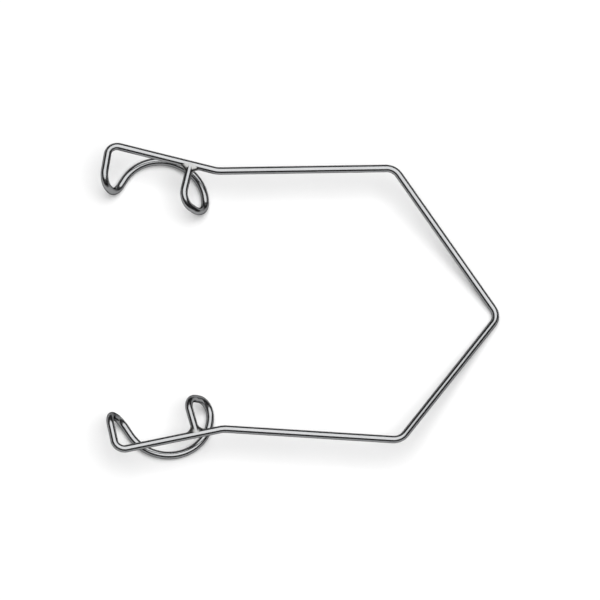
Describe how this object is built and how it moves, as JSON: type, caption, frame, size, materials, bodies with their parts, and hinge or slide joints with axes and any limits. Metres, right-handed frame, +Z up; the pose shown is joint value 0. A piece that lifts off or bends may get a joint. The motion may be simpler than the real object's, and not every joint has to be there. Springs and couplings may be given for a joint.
{
  "type": "wire eyelid speculum",
  "caption": "Self-retaining wire eyelid retractor: an arrow-headed spring bow, two long arms and two open wire lid blades.",
  "frame": {"origin": "middle of the overall length, on the plane that the lid bows and the apex stand on", "axes": "+X along the instrument towards the apex of the spring bow, +Y across it towards the upper blade, +Z up, from the lid bows towards the rails"},
  "size_m": [0.0424, 0.0356, 0.0034],
  "materials": {
    "spring_wire": "polished stainless spring wire",
    "braze": "polished silver braze"
  },
  "bodies": {
    "spring_bow": {"apex_bend": "spring_wire", "upper_leg_root": "spring_wire", "lower_leg_root": "spring_wire"},
    "upper_shoulder": {"upper_leg": "spring_wire", "upper_shoulder_bend": "spring_wire", "upper_arm_root": "spring_wire"},
    "upper_blade": {"upper_arm": "spring_wire", "upper_neck_bend": "spring_wire", "upper_rail": "spring_wire", "upper_corner_bend": "spring_wire", "upper_corner_leg": "spring_wire", "upper_corner_hook": "spring_wire", "upper_lid_bow": "spring_wire", "upper_neck_hook": "spring_wire", "upper_post": "spring_wire", "upper_braze": "braze"},
    "lower_shoulder": {"lower_leg": "spring_wire", "lower_shoulder_bend": "spring_wire", "lower_arm_root": "spring_wire"},
    "lower_blade": {"lower_arm": "spring_wire", "lower_neck_bend": "spring_wire", "lower_rail": "spring_wire", "lower_corner_bend": "spring_wire", "lower_corner_leg": "spring_wire", "lower_corner_hook": "spring_wire", "lower_lid_bow": "spring_wire", "lower_neck_hook": "spring_wire", "lower_post": "spring_wire", "lower_braze": "braze"}
  },
  "joints": [
    {"name": "upper_leg_flex", "type": "hinge", "parent": "spring_bow", "child": "upper_shoulder", "pos_m": [0.01633, 0.00679, 0.00147], "axis": [0, 0, 1], "range_deg": [-3, 15], "stiffness_Nm_per_rad": 0.24},
    {"name": "upper_arm_flex", "type": "hinge", "parent": "upper_shoulder", "child": "upper_blade", "pos_m": [0.004, 0.01543, 0.00297], "axis": [0, 0, 1], "range_deg": [-1.4, 6.8]},
    {"name": "lower_leg_flex", "type": "hinge", "parent": "spring_bow", "child": "lower_shoulder", "pos_m": [0.01633, -0.00679, 0.00147], "axis": [0, 0, -1], "range_deg": [-3, 15], "stiffness_Nm_per_rad": 0.24},
    {"name": "lower_arm_flex", "type": "hinge", "parent": "lower_shoulder", "child": "lower_blade", "pos_m": [0.004, -0.01543, 0.00297], "axis": [0, 0, -1], "range_deg": [-1.4, 6.8]}
  ],
  "couplings": [
    {"joint": "upper_arm_flex", "follows": "upper_leg_flex", "ratio": 0.45},
    {"joint": "lower_arm_flex", "follows": "lower_leg_flex", "ratio": 0.45}
  ]
}
